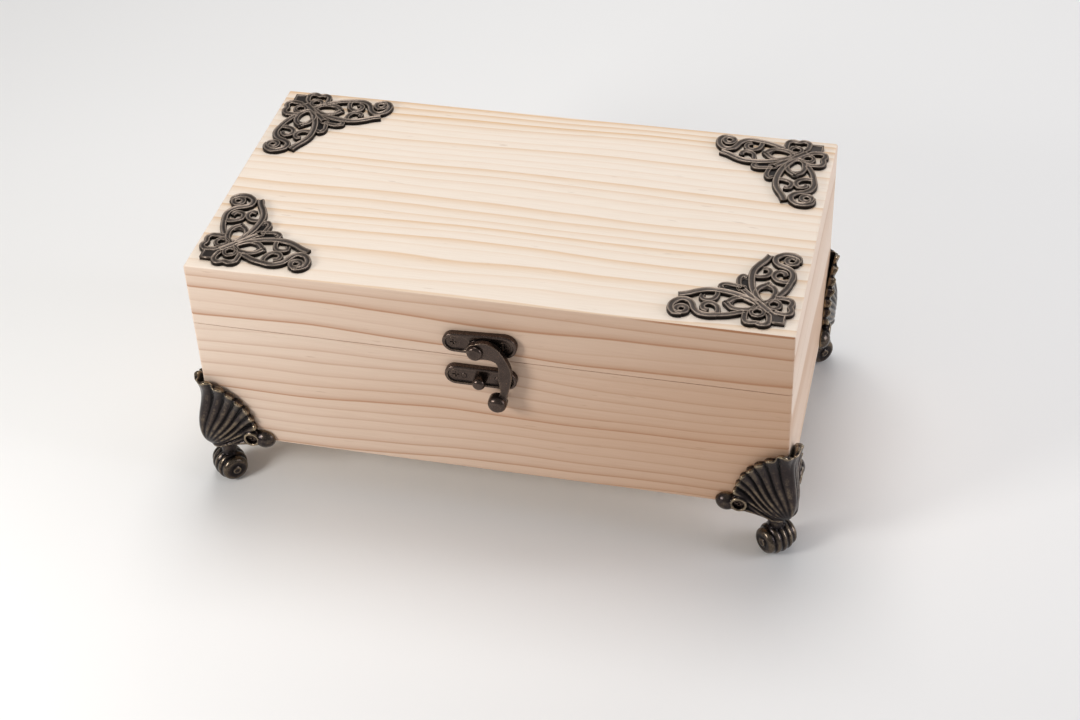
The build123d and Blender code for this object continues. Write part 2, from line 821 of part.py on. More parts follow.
outer_knuckles = [k for k in range(hinge_knuckles) if k % 2 == 0]
inner_knuckles = [k for k in range(hinge_knuckles) if k % 2 == 1]
for side, place in zip(("left", "right"), hinge_places):
    save(hinge_leaf(place, -1, outer_knuckles), "hinge_" + side + "_base_leaf")
    save(hinge_leaf(place, 1, inner_knuckles), "hinge_" + side + "_lid_leaf")
    with BuildPart() as hinge_pin:
        with BuildSketch(pin_plane(place)):
            Circle(hinge_pin_radius)
        extrude(amount=hinge_width / 2, both=True)
        for head_start in (hinge_width / 2, -hinge_width / 2 - hinge_pin_head_height):
            with BuildSketch(pin_plane(place).offset(head_start)):
                Circle(hinge_pin_head_radius)
            extrude(amount=hinge_pin_head_height)
    save(hinge_pin, "hinge_" + side + "_pin")

# Screws, gathered by what they hold
screw_groups = {
    "foot_screws": foot_screw_planes,
    "latch_lid_screws": latch_lid_screw_planes,
    "latch_base_screws": latch_base_screw_planes,
    "hinge_lid_screws": hinge_lid_screw_planes,
    "hinge_base_screws": hinge_base_screw_planes,
}
for name, planes in screw_groups.items():
    with BuildPart() as screws:
        for plane in planes:
            with Locations(plane):
                add(screw_form.part)
    save(screws, name)
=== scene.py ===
# %% [markdown]
# # A small pine box with antiqued metal fittings
# The box is plain softwood, sanded and left bare. Filigree corners lie on the
# lid, shell-shaped feet carry it and a swing-hook latch closes it. The solids
# that the box was drawn with are loaded first and stay in place. Each step
# then gives one part its finish, or lays a finer mesh over its solid. Working
# around the solids keeps every size and every joint as it was drawn.

import math

import bmesh
import bpy
import numpy as np
from mathutils import Matrix, Vector


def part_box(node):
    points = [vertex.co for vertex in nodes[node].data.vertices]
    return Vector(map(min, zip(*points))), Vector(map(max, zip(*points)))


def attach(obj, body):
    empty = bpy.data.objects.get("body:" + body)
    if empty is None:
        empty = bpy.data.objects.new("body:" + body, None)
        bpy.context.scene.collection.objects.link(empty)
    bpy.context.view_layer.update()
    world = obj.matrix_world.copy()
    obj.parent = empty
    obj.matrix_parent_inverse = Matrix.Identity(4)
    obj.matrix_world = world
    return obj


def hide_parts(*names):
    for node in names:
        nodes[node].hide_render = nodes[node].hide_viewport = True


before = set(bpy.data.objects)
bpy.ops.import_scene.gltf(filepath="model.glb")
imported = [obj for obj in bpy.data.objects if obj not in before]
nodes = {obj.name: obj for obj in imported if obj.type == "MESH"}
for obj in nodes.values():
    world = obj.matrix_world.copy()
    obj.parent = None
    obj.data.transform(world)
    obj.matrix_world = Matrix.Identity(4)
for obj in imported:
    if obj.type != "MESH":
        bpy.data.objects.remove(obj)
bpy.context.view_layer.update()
MM = 0.001

# %% [markdown]
# ## Colours and nodes
# Colours are easiest to judge as they look on a screen, so they are written
# as sRGB hex numbers and turned into the linear values that shaders expect in
# one place. A material could be clicked together by hand, but a recipe in
# code can be read and changed. It is built from many small nodes, so one
# function adds a node, sets it, links it and gives back its output, which the
# next node takes as its input.


# %% Colour helpers
def linear(hex_colour):
    """Linear RGBA for a colour written as sRGB hex."""
    parts = [int(hex_colour[i : i + 2], 16) / 255 for i in (0, 2, 4)]
    return tuple(p / 12.92 if p <= 0.04045 else ((p + 0.055) / 1.055) ** 2.4 for p in parts) + (1.0,)


def grey(level):
    """Colour with three equal parts."""
    return (level, level, level, 1.0)


print("pale pine in linear light:", linear("f2e6d9"))


# %% Node helpers
# The colour inputs and output of a Mix node go by their places
FACTOR, FIRST, SECOND, MIXED = 0, 6, 7, 2


def add(tree, kind, inputs=None, out=0, stops=(), **settings):
    """Add a node, set it and link it, and give back the output that is asked for.

    inputs are numbers or other nodes' outputs; stops are a ramp's places and colours."""
    node = tree.nodes.new("ShaderNode" + kind)
    for setting, value in settings.items():
        setattr(node, setting, value)
    for key, value in (inputs or {}).items():
        if isinstance(value, bpy.types.NodeSocket):
            tree.links.new(value, node.inputs[key])
        else:
            node.inputs[key].default_value = value
    if stops:
        # A new ramp already has two stops
        for _ in stops[2:]:
            node.color_ramp.elements.new(0.5)
        for element, (place, colour) in zip(node.color_ramp.elements, stops):
            element.position = place
            element.color = colour
    return node.outputs[out] if node.outputs else None


def new_material(name):
    """An empty material and its node tree."""
    material = bpy.data.materials.new(name)
    material.use_nodes = True
    material.node_tree.nodes.clear()
    return material, material.node_tree


def give_surface(tree, inputs):
    """Close a material with a shader that has these inputs."""
    shader = add(tree, "BsdfPrincipled", inputs)
    add(tree, "OutputMaterial", {"Surface": shader})


print("node helpers ready")

# %% [markdown]
# ## The year lines of pine
# A board is cut from a log, so its lines are the log's year rings seen where
# the board slices them. Parallel stripes would be simpler, but they look
# printed. Here the pattern measures the distance from the log's middle, far
# outside the board, and repeats once a ring: pale spring wood that darkens
# slowly and ends in a thin honey line. Soft noise, stretched along the board,
# bends that distance, so the lines wander as they do in a trunk. Good and bad
# years differ, so each ring draws its own strength: most lines are thin and
# faint, a few broad and strong.


# %% Year lines
faintest_year = 0.2
# A pattern's share of its own scale along the board: the smaller, the longer it runs
bend_stretch = 0.13
wave_stretch = 0.4


def bend(tree, distance, where, blob, detail, reach):
    """A distance bent by soft noise: blob is the noise's grain, reach its most, in mm."""
    sway = add(tree, "TexNoise", {"Vector": where, "Scale": 1 / (blob * MM), "Detail": detail})
    return add(tree, "Math", {0: sway, 1: reach * MM, 2: distance}, operation="MULTIPLY_ADD")


def log_distance(tree, laid, along, log_middle, wander, wave):
    """Distance from the log's middle, with long bends, shorter waves and a fine shiver."""
    middle = (0, log_middle[0] * MM, log_middle[1] * MM)
    offset = add(tree, "VectorMath", {0: laid, 1: middle}, operation="SUBTRACT")
    slice_offset = add(tree, "VectorMath", {0: offset, 1: (0, 1, 1)}, operation="MULTIPLY")
    distance = add(tree, "VectorMath", {0: slice_offset}, out="Value", operation="LENGTH")
    shorter = add(tree, "VectorMath", {0: laid, 1: (wave_stretch, 1, 1)}, operation="MULTIPLY")
    distance = bend(tree, distance, along, blob=45.5, detail=2.0, reach=wander)
    distance = bend(tree, distance, shorter, blob=38.5, detail=1.0, reach=wave)
    return bend(tree, distance, along, blob=4.17, detail=2.0, reach=0.5)


def year_lines(tree, distance, ring, breadth, strength):
    """How dark the year lines are at each point, from 0 to about strength."""
    year = add(tree, "Math", {0: distance, 1: ring * MM}, operation="DIVIDE")
    season = add(tree, "Math", {0: year}, operation="FRACT")
    number = add(tree, "Math", {0: year}, operation="FLOOR")
    vigour = add(tree, "TexWhiteNoise", {"W": number}, out="Value", noise_dimensions="1D")
    vigour = add(tree, "Math", {0: vigour, 1: 1 + breadth / 2}, operation="POWER")
    inputs = {0: vigour, 1: 1 - faintest_year, 2: faintest_year}
    vigour = add(tree, "Math", inputs, operation="MULTIPLY_ADD")
    thin_stops = [(0.0, 0.03), (0.5, 0.08), (0.8, 0.4), (0.92, 1), (1.0, 0.03)]
    broad_stops = [(0.0, 0.03), (0.35, 0.2), (0.72, 0.7), (0.9, 1), (1.0, 0.03)]
    thin, broad = [
        add(tree, "ValToRGB", {"Fac": season}, stops=[(place, grey(level)) for place, level in stops])
        for stops in (thin_stops, broad_stops)
    ]
    widened = add(tree, "Math", {0: vigour, 1: breadth}, operation="MULTIPLY")
    line = add(tree, "Mix", {FACTOR: widened, FIRST: thin, SECOND: broad}, out=MIXED, data_type="RGBA")
    line = add(tree, "Math", {0: line, 1: vigour}, operation="MULTIPLY")
    return add(tree, "Math", {0: line, 1: strength}, operation="MULTIPLY")


print("year lines ready")

# %% [markdown]
# ## Bare pine
# Between its lines, pine is never one colour. Soft clouds of a darker tone
# lie over the board, very long fine streaks show its fibres, and short
# brown dashes are its resin ducts. On the front boards the darker tone also
# grows towards the right end, partly the board's own tone and partly painted
# shade. Sanded and left bare it is matt, with fibres that can just be felt,
# so the roughness and a very low bump follow the same streaks. Real fibres
# are a few hundredths of a millimetre wide, too fine to see at this
# distance, and are drawn about half a millimetre.


# %% Colour of a board
half_board = 110 * MM
cloud_size = 62.5
fibre_width = 0.526
fibre_stretch = 0.035
fibre_shadow = (0.93, 0.90, 0.87, 1)
fibre_strength = 0.6
duct_width = 1.11
duct_stretch = 0.12
duct_brown = "a67c5a"
duct_strength = 0.25


def board_colour(tree, laid, along, line, fibres, pale, honey, shade, tone_drift_and_painted_shade):
    """Colour of bare pine: clouds, year lines, fibres and resin ducts in turn."""
    clouds = add(tree, "TexNoise", {"Vector": along, "Scale": 1 / (cloud_size * MM), "Detail": 3.0})
    # Further along x more of the shade colour comes in: partly the board's own tone, partly painted shade
    # where the light falls off
    run = add(tree, "SeparateXYZ", {0: laid}, out="X")
    clouds = add(tree, "Math", {0: run, 1: tone_drift_and_painted_shade / half_board, 2: clouds}, operation="MULTIPLY_ADD")
    inputs = {FACTOR: clouds, FIRST: linear(pale), SECOND: linear(shade)}
    colour = add(tree, "Mix", inputs, out=MIXED, data_type="RGBA")
    inputs = {FACTOR: line, FIRST: colour, SECOND: linear(honey)}
    colour = add(tree, "Mix", inputs, out=MIXED, data_type="RGBA")
    tint = add(tree, "ValToRGB", {"Fac": fibres}, stops=[(0.3, fibre_shadow), (0.62, grey(1))])
    inputs = {FACTOR: fibre_strength, FIRST: colour, SECOND: tint}
    colour = add(tree, "Mix", inputs, out=MIXED, data_type="RGBA", blend_type="MULTIPLY")
    dashes = add(tree, "VectorMath", {0: laid, 1: (duct_stretch, 1, 1)}, operation="MULTIPLY")
    ducts = add(tree, "TexNoise", {"Vector": dashes, "Scale": 1 / (duct_width * MM), "Detail": 1.0})
    ducts = add(tree, "ValToRGB", {"Fac": ducts}, stops=[(0.73, grey(0)), (0.80, grey(1))])
    ducts = add(tree, "Math", {0: ducts, 1: duct_strength}, operation="MULTIPLY")
    inputs = {FACTOR: ducts, FIRST: colour, SECOND: linear(duct_brown)}
    return add(tree, "Mix", inputs, out=MIXED, data_type="RGBA")


print("fibres drawn", fibre_width, "mm wide, resin ducts", duct_width, "mm")


# %% Bare pine, colour and surface together
sanded_roughness = 0.5
roughness_spread = 0.16
line_relief = 0.35
relief_depth = 0.08


def pine(
    name, turn, log_middle, ring, shift, pale, honey, shade,
    strength, wander=6.0, wave=1.0, tone_drift_and_painted_shade=0.0, breadth=0.3,
):
    """Bare pine, with all sizes in mm. turn: degrees that lay the pattern along the board.
    log_middle: how far across and up the log's middle lies. drift: more of the shade colour
    towards one end, partly the board's own tone and partly painted shade.
    breadth: 0 for thin, even lines, 1 for a few broad ones among faint ones."""
    material, tree = new_material(name)
    coordinates = add(tree, "TexCoord", out="Object")
    placed = {"Vector": coordinates, "Rotation": (0, 0, math.radians(turn)), "Location": (shift * MM, 0, 0)}
    laid = add(tree, "Mapping", placed)
    along = add(tree, "VectorMath", {0: laid, 1: (bend_stretch, 1, 1)}, operation="MULTIPLY")
    distance = log_distance(tree, laid, along, log_middle, wander, wave)
    line = year_lines(tree, distance, ring, breadth, strength)
    streaks = add(tree, "VectorMath", {0: laid, 1: (fibre_stretch, 1, 1)}, operation="MULTIPLY")
    inputs = {"Vector": streaks, "Scale": 1 / (fibre_width * MM), "Detail": 3.0, "Roughness": 0.6}
    fibres = add(tree, "TexNoise", inputs)
    colour = board_colour(tree, laid, along, line, fibres, pale, honey, shade, tone_drift_and_painted_shade)
    inputs = {0: fibres, 1: roughness_spread, 2: sanded_roughness}
    rough = add(tree, "Math", inputs, operation="MULTIPLY_ADD")
    relief = add(tree, "Math", {0: line, 1: line_relief, 2: fibres}, operation="MULTIPLY_ADD")
    normal = add(tree, "Bump", {"Height": relief, "Strength": 0.25, "Distance": relief_depth * MM})
    give_surface(tree, {"Base Color": colour, "Roughness": rough, "Normal": normal})
    return material


print("relief of lines and fibres:", relief_depth, "mm")

# %% [markdown]
# ## Five boards from different logs
# One recipe serves all the wood, but boards from one place in one log would
# all show the same lines. Each group of boards gets its own place in its own
# log. The front has wide rings and darkens to the right, partly in its own
# tone and partly as painted shade, and the lid has closer, golden ones. The
# boards keep the shape of their solids, because sawn and sanded wood is as
# plain as they are.

# %% Pine for each group of boards
pine_lid = pine(
    "pine, lid panel", turn=0, log_middle=(-175, -190), ring=2.5, shift=0,
    pale="f2e6d9", honey="d9ac76", shade="eddcc8", strength=1.0, wander=9.0, wave=4.0, breadth=1.0,
)
# The front's darkening towards the right end is partly its own tone and partly painted shade
pine_front = pine(
    "pine, front rails", turn=0, log_middle=(-105, 135), ring=4.2, shift=40,
    pale="ecdac9", honey="b27c55", shade="d2ad90", strength=1.1, wander=13.0, wave=7.5,
    tone_drift_and_painted_shade=0.35, breadth=0.2,
)
pine_side = pine(
    "pine, end boards", turn=-90, log_middle=(150, 40), ring=3.4, shift=15,
    pale="ecd9c7", honey="c7a07e", shade="e6cfba", strength=0.8,
)
pine_back = pine(
    "pine, back boards", turn=0, log_middle=(70, -120), ring=4.0, shift=90,
    pale="ebd6c0", honey="c49a74", shade="e4caae", strength=0.8,
)
pine_floor = pine(
    "pine, floor panel", turn=0, log_middle=(40, -160), ring=3.6, shift=60,
    pale="efdfcb", honey="cba680", shade="e8d4ba", strength=0.7,
)
finishes = {
    "lid_top_panel": pine_lid,
    "lid_front_rail": pine_front,
    "base_front_board": pine_front,
    "lid_back_rail": pine_back,
    "base_back_board": pine_back,
    "lid_left_rail": pine_side,
    "lid_right_rail": pine_side,
    "base_left_board": pine_side,
    "base_right_board": pine_side,
    "base_floor_panel": pine_floor,
}
for node_name, material in finishes.items():
    nodes[node_name].data.materials.clear()
    nodes[node_name].data.materials.append(material)
print("wooden pieces:", len(finishes))

# %% [markdown]
# ## Antique bronze
# Fittings like these are usually cast, plated, blackened and then tumbled.
# The black stays in the hollows and comes off the edges, where brown and
# brassy metal shows. Painting that by hand would take long on such small
# shapes, so every vertex carries a number called wear, high on ridges and
# low in hollows, and the material goes from black through brown to bright
# metal by that number. The palest tone, at the very top of the wear, is
# partly a painted highlight on the sharpest edges. Blotches a few
# millimetres wide and a grit of about a third of a millimetre break it up,
# and the grit also roughens the gloss. Real grit is finer and is drawn as
# coarse as it needs to be to show.

# %% Antique bronze
blotch_size = 3.85
grit_size = 0.385
gloss_spread = 0.25
gloss_shift = 0.12


def bronze(name, dark, brown, bright, polished_and_painted_highlight, rough):
    """Blackened casting, worn back to bright metal where the wear number is high; the palest tone there is
    partly a painted highlight.
    """
    material, tree = new_material(name)
    coordinates = add(tree, "TexCoord", out="Object")
    worn = add(tree, "Attribute", out="Fac", attribute_name="wear")
    for size, share in ((blotch_size, 0.22), (grit_size, 0.16)):
        speckle = add(tree, "TexNoise", {"Vector": coordinates, "Scale": 1 / (size * MM), "Detail": 3.0})
        centred = add(tree, "Math", {0: speckle, 1: 0.5}, operation="SUBTRACT")
        worn = add(tree, "Math", {0: centred, 1: share, 2: worn}, operation="MULTIPLY_ADD")
    # The last stop, reached only on the sharpest edges, is partly rubbed-down clean metal and partly a
    # painted highlight
    tones = [(0.2, dark), (0.52, brown), (0.86, bright), (1.0, polished_and_painted_highlight)]
    stops = [(place, linear(tone)) for place, tone in tones]
    colour = add(tree, "ValToRGB", {"Fac": worn}, stops=stops)
    # The last speckle is the grit
    inputs = {0: speckle, 1: gloss_spread, 2: rough - gloss_shift}
    gloss = add(tree, "Math", inputs, operation="MULTIPLY_ADD")
    normal = add(tree, "Bump", {"Height": speckle, "Strength": 0.25, "Distance": 0.06 * MM})
    give_surface(tree, {"Base Color": colour, "Metallic": 0.9, "Roughness": gloss, "Normal": normal})
    return material


bronze_ornament = bronze(
    "antique bronze, lid corners",
    dark="1f1b19", brown="4a423d", bright="84766a", polished_and_painted_highlight="b5a394", rough=0.38,
)
# The feet's palest tone is partly a painted highlight on their rims and crests
bronze_foot = bronze(
    "antique bronze, feet",
    dark="110f10", brown="3b3433", bright="a8967c", polished_and_painted_highlight="e2cfa6", rough=0.24,
)
bronze_latch = bronze(
    "antique bronze, latch",
    dark="1c1716", brown="584b44", bright="a8937b", polished_and_painted_highlight="d2bd9c", rough=0.26,
)
bronze_hinge = bronze(
    "antique bronze, hinges",
    dark="1d1816", brown="4c423a", bright="9a8668", polished_and_painted_highlight="c8b48c", rough=0.32,
)
print("materials so far:", len(bpy.data.materials))

# %% [markdown]
# ## Where a casting wears
# Tumbling rubs what stands out. A point stands out when it lies above the
# middle of its neighbours, so the mesh itself can say where it wears. The
# positions are averaged over the net again and again: after a few rounds the
# difference shows sharp edges, and after many rounds it shows broad ribs.
# Both can count, each with its own gain. Where the broad ribs count, their brightening is partly a painted
# highlight.


# %% Wear from the shape
flat_wear = 0.42


def mark_wear(mesh, reach, gain, crest_reach, crest_wear_and_painted_highlight_gain):
    """Store how far each vertex stands out from its neighbours as wear, 0 to 1.

    reach and gain are for edges; crest_reach and crest_wear_and_painted_highlight_gain for broad ribs,
    whose brightening is partly rubbed metal and partly a painted highlight."""
    count = len(mesh.vertices)
    places = np.zeros(count * 3)
    mesh.vertices.foreach_get("co", places)
    places = places.reshape(-1, 3)
    normals = np.zeros(count * 3)
    mesh.vertex_normals.foreach_get("vector", normals)
    normals = normals.reshape(-1, 3)
    pairs = np.zeros(len(mesh.edges) * 2, int)
    mesh.edges.foreach_get("vertices", pairs)
    pairs = pairs.reshape(-1, 2)
    degree = np.maximum(np.bincount(pairs.ravel(), minlength=count), 1)[:, None]
    mean = places.copy()
    wear = np.full(count, flat_wear)
    for step in range(1, max(reach, crest_reach) + 1):
        total = np.zeros_like(mean)
        for axis in range(3):
            total[:, axis] += np.bincount(pairs[:, 0], mean[pairs[:, 1], axis], count)
            total[:, axis] += np.bincount(pairs[:, 1], mean[pairs[:, 0], axis], count)
        mean = total / degree
        bulge = ((places - mean) * normals).sum(1) / MM
        if step == reach:
            wear += bulge * gain
        # Broad rib crests add to the wear: partly rubbed metal, partly a painted highlight
        if step == crest_reach:
            wear += bulge * crest_wear_and_painted_highlight_gain
    layer = mesh.attributes.new("wear", "FLOAT", "POINT")
    layer.data.foreach_set("value", np.clip(wear, 0, 1).astype(np.float32))


print("wear of a flat face:", flat_wear)

# %% [markdown]
# ## Cast pieces from their solids
# A casting has no sharp edges: the mould and the plating round everything.
# Bevels would need every edge of a complicated shape picked out. Instead a
# copy of the solid's mesh is merged, rebuilt as an even net of small squares
# and relaxed a little, which rounds every edge by about the same amount.
# Tumbling goes on from there and rounds only the vertices that stand proud,
# so that ribs get softer crests while the valleys between them stay.


# %% Rebuild a solid as an even net
weld_gap = 0.002


def apply_modifiers(piece):
    """Bake the piece's modifiers into its mesh."""
    view = bpy.context.evaluated_depsgraph_get()
    baked = bpy.data.meshes.new_from_object(piece.evaluated_get(view))
    piece.modifiers.clear()
    old = piece.data
    piece.data = baked
    bpy.data.meshes.remove(old)


def even_net(node_name, name, square):
    """A new object with the solid's shape as a net of squares, square mm wide."""
    mesh = bpy.data.meshes.new(name)
    form = bmesh.new()
    form.from_mesh(nodes[node_name].data)
    bmesh.ops.remove_doubles(form, verts=form.verts, dist=weld_gap * MM)
    form.to_mesh(mesh)
    form.free()
    piece = bpy.data.objects.new(name, mesh)
    bpy.context.scene.collection.objects.link(piece)
    # The net is made with a millimetre as the unit, since very small squares are refused
    piece.data.transform(Matrix.Scale(1 / MM, 4))
    net = piece.modifiers.new("even net", "REMESH")
    net.mode = "VOXEL"
    net.voxel_size = square
    apply_modifiers(piece)
    piece.data.transform(Matrix.Scale(MM, 4))
    return piece


print("vertices nearer than", weld_gap, "mm are merged")


# %% Soften and tumble
all_ways = {"use_axis_x": True, "use_axis_y": True, "use_axis_z": True}
proud_share = 0.09


def tumble(form, rounds, square):
    """Round off only the vertices that stand out, as tumbling with grit does."""
    proud = set()
    for vert in form.verts:
        around = [edge.other_vert(vert).co for edge in vert.link_edges]
        middle = sum(around, Vector()) / len(around)
        if (vert.co - middle).dot(vert.normal) > proud_share * square * MM:
            proud.add(vert)
            proud.update(edge.other_vert(vert) for edge in vert.link_edges)
    proud = sorted(proud, key=lambda vert: vert.index)
    for _ in range(rounds):
        bmesh.ops.smooth_vert(form, verts=proud, factor=0.5, **all_ways)


def soften(mesh, square, relax, rounds):
    """Relax the whole net, then tumble what stands out."""
    form = bmesh.new()
    form.from_mesh(mesh)
    for _ in range(relax):
        bmesh.ops.smooth_vert(form, verts=form.verts, factor=0.5, **all_ways)
    bmesh.ops.recalc_face_normals(form, faces=form.faces)
    form.normal_update()
    form.verts.index_update()
    if rounds:
        tumble(form, rounds, square)
    form.to_mesh(mesh)
    form.free()
    for polygon in mesh.polygons:
        polygon.use_smooth = True


print("a vertex is proud above", proud_share, "of a square")


# %% One casting over one solid
def cast(
    node_name, name, material, body, square, relax, gain,
    reach=3, rounds=0, crest_reach=0, crest_wear_and_painted_highlight_gain=0.0,
):
    """A softened casting over one solid; square is the net's size in mm."""
    piece = even_net(node_name, name, square)
    soften(piece.data, square, relax, rounds)
    mark_wear(piece.data, reach, gain, crest_reach, crest_wear_and_painted_highlight_gain)
    piece.data.materials.append(material)
    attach(piece, body)
    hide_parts(node_name)
    print(piece.name, len(piece.data.polygons))


print("casting ready")

# %% [markdown]
# ## Shell feet
# Each foot is one casting: ribs fan out from the neck under the corner, wrap
# round both faces and end in a scalloped rim. The ribs could be drawn again
# here, but the solid already has every one, so the casting recipe is enough,
# with a net fine enough to keep the valleys. The crests of the broad ribs
# are made bright too, partly as rubbed metal and partly as a painted
# highlight, so their wear counts beside that of the edges.

# %% Feet
# The brightened rib crests of the feet are partly rubbed metal and partly a painted highlight
for corner in ("front_left", "front_right", "back_right", "back_left"):
    cast(
        "foot_" + corner, "shell_foot_" + corner, bronze_foot, "base", square=0.28, relax=2,
        gain=3.0, reach=4, rounds=12, crest_reach=22, crest_wear_and_painted_highlight_gain=0.32,
    )

# %% [markdown]
# ## Latch
# Two plates hold a swinging hook and the post that it catches. They have
# nearly the same finish as the feet, a little browner. A latch could also be
# built from bevelled shapes, but its solids are already right, so the same
# recipe serves, with a finer net, because their edges are thinner.

# %% Latch
latch_pieces = (
    ("latch_lid_plate", "latch_plate_lid", "lid"),
    ("latch_base_plate", "latch_plate_base", "base"),
    ("latch_hook", "swing_hook", "hook"),
    ("latch_pivot_rivet", "pivot_rivet", "lid"),
    ("latch_post", "catch_post", "base"),
)
for node_name, name, body in latch_pieces:
    cast(node_name, name, bronze_latch, body, square=0.14, relax=3, gain=5.0)

# %% [markdown]
# ## Hinges
# Each hinge is two leaves with rolled knuckles round a pin. A leaf moves with
# the board that it is screwed to, and the pin stays with the base. One mesh
# for the whole hinge could not turn, so every leaf and pin is its own piece,
# made by the same recipe from its own solid.

# %% Hinges
for side in ("left", "right"):
    for leaf_body in ("base", "lid"):
        cast(
            "hinge_" + side + "_" + leaf_body + "_leaf", leaf_body + "_leaf_" + side,
            bronze_hinge, leaf_body, square=0.16, relax=2, gain=5.0,
        )
    cast(
        "hinge_" + side + "_pin", "hinge_rod_" + side,
        bronze_hinge, "base", square=0.12, relax=2, gain=5.0,
    )

# %% [markdown]
# ## Screws
# The screws are small countersunk ones with a cross in the head, gathered by
# what they hold. They are the smallest pieces, so they get the finest net and
# the least softening, which keeps the crosses open.

# %% Screws
screw_sets = (
    ("latch_lid_screws", "lid"),
    ("latch_base_screws", "base"),
    ("hinge_lid_screws", "lid"),
    ("hinge_base_screws", "base"),
    ("foot_screws", "base"),
)
for node_name, body in screw_sets:
    cast(node_name, "set_of_" + node_name, bronze_latch, body, square=0.1, relax=1, gain=8.0, reach=2)

# %% [markdown]
# ## Filigree corners
# A filigree corner is cast flat, as scrolling strands with a raised line
# along each edge and a groove between. A plate with holes cut in it would
# have the outline but not the groove. So each strand is drawn as a curve, and
# a small outline with two humps is run along it. One half is drawn and the
# other is its mirror image about the corner's diagonal.

# %% Lines of half a corner
# Places are in mm from the lid's corner, along one edge and then the other
thickness = 1.6
near_edge = 0.85
arm = [(41.4, 13.6), (38.4, 14.8), (35.2, 16.7), (31.8, 18.0)]
arm += [(28.2, 18.2), (24.8, 17.8), (21.5, 17.0), (14.5, 13.6)]
scroll = [(38.8, 3.5), (40.8, 3.3), (42.5, 4.5), (43.1, 7.0), (42.2, 9.6), (40.1, 11.3)]
scroll += [(37.8, 11.1), (36.2, 9.4), (35.0, 6.6), (33.0, 4.7), (30.0, 4.0), (27.0, 4.5)]
lower = [(27.0, 4.5), (25.0, 4.9), (22.9, 5.5), (20.5, 6.6), (18.0, 8.0)]
inner_curl = [(28.4, 17.4), (28.4, 15.1), (29.5, 12.9), (31.6, 12.2), (33.4, 13.3), (33.2, 14.9)]
outer_curl = [(26.8, 5.0), (26.8, 7.5), (28.2, 10.1), (30.4, 10.7), (32.2, 9.4), (32.0, 7.3)]
outer_curl += [(30.3, 6.5)]
lobe = [(17.4, 8.6), (17.4, 5.4), (16.9, 3.1), (15.2, 2.3), (13.1, 2.7)]
lobe += [(10.9, 2.0), (9.2, 2.9), (8.9, 5.3), (9.6, 7.8)]
feeler = [(20.8, 21.4), (24.0, 22.1), (26.6, 22.2), (28.0, 21.1), (27.5, 19.6)]
eye_top = [(14.1, 12.4), (17.8, 15.3), (22.0, 14.8), (24.7, 11.9)]
eye_bottom = [(24.7, 11.9), (22.4, 9.4), (18.3, 9.0), (15.1, 10.4), (14.1, 12.4)]
# Each line with the width of its strand
strand_lines = (
    (arm, 2.8),
    (scroll, 2.6),
    (lower, 2.4),
    (inner_curl, 2.0),
    (outer_curl, 2.1),
    (lobe, 2.3),
    (feeler, 2.0),
    (eye_top, 2.2),
    (eye_bottom, 2.2),
)
print("strands in half a corner:", len(strand_lines))


# %% One strand
def smooth_line(points, closed):
    """A flat curve through the points."""
    line = bpy.data.curves.new("strand", "CURVE")
    line.dimensions = "2D"
    line.resolution_u = 6
    path = line.splines.new("BEZIER")
    path.bezier_points.add(len(points) - 1)
    for knot, (x, y) in zip(path.bezier_points, points):
        knot.co = (x, y, 0)
        knot.handle_left_type = "AUTO"
        knot.handle_right_type = "AUTO"
    path.use_cyclic_u = closed
    return line


def humped_outline(width):
    """What a cut across a strand shows: a hump along each edge, a groove between."""
    outline = bpy.data.curves.new("strand outline", "CURVE")
    outline.dimensions = "2D"
    humps = outline.splines.new("POLY")
    half = width / 2
    # Places as shares of the half width and of the thickness, from one foot to the middle
    one_side = [(-1, 0), (-1, 0.62), (-0.92, 0.86), (-0.75, 0.98), (-0.56, 0.96), (-0.38, 0.84), (0, 0.76)]
    shape = one_side + [(-x, y) for x, y in reversed(one_side[:-1])]
    humps.points.add(len(shape) - 1)
    for knot, (x, y) in zip(humps.points, shape):
        knot.co = (x * half, y * thickness, 0, 1)
    humps.use_cyclic_u = True
    return outline


def strand_mesh(points, width, closed=False):
    """Mesh of one strand: the humped outline run along a smooth line."""
    line = smooth_line(points, closed)
    line_object = bpy.data.objects.new("strand", line)
    outline_object = bpy.data.objects.new("strand outline", humped_outline(width))
    line.bevel_mode = "OBJECT"
    line.bevel_object = outline_object
    line.use_fill_caps = True
    for helper in (line_object, outline_object):
        bpy.context.scene.collection.objects.link(helper)
    view = bpy.context.evaluated_depsgraph_get()
    mesh = bpy.data.meshes.new_from_object(line_object.evaluated_get(view))
    for helper in (line_object, outline_object):
        bpy.data.objects.remove(helper)
    return mesh


print("strands from", min(w for _, w in strand_lines), "to", max(w for _, w in strand_lines), "mm wide")


# %% Rings and small plates
def ring_mesh(centre, radius, width):
    """Mesh of a closed ring with the same two-humped outline."""
    around = 10
    turns = [2 * math.pi * i / around for i in range(around)]
    points = [(centre[0] + radius * math.cos(t), centre[1] + radius * math.sin(t)) for t in turns]
    return strand_mesh(points, width, closed=True)


